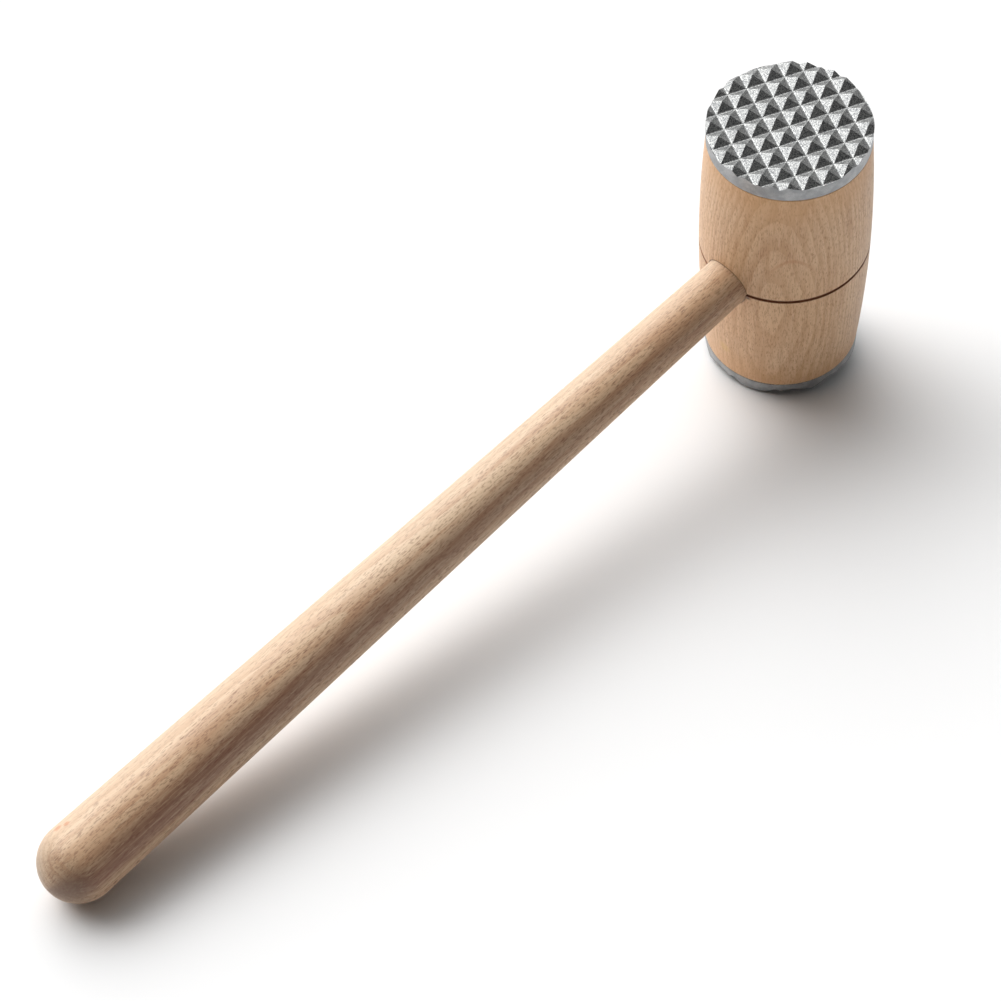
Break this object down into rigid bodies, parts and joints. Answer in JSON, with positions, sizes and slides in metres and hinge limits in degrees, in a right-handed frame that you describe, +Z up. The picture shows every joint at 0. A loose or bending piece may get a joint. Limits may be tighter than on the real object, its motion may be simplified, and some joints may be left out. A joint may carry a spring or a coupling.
{
  "type": "meat mallet",
  "caption": "Wooden meat mallet with a barrel head, a long tapered handle, and aluminium caps with fine pyramid teeth on one end and coarse teeth on the other.",
  "frame": {"origin": "on the table under the middle of the mallet as it rests, on a row of coarse teeth and on the ball of its handle", "axes": "+Z up, handle along +X and sloping down a little, Y across the head"},
  "size_m": [0.33, 0.0548, 0.1094],
  "materials": {
    "head_beech": "turned beech, sanded, unvarnished, grain along the head",
    "handle_beech": "turned beech, sanded, unvarnished, grain along the handle",
    "cast_aluminium": "cast, matt, slightly grainy"
  },
  "bodies": {
    "root": {"head_barrel": "head_beech", "handle": "handle_beech", "fine_tooth_cap": "cast_aluminium", "coarse_tooth_cap": "cast_aluminium"}
  },
  "joints": []
}
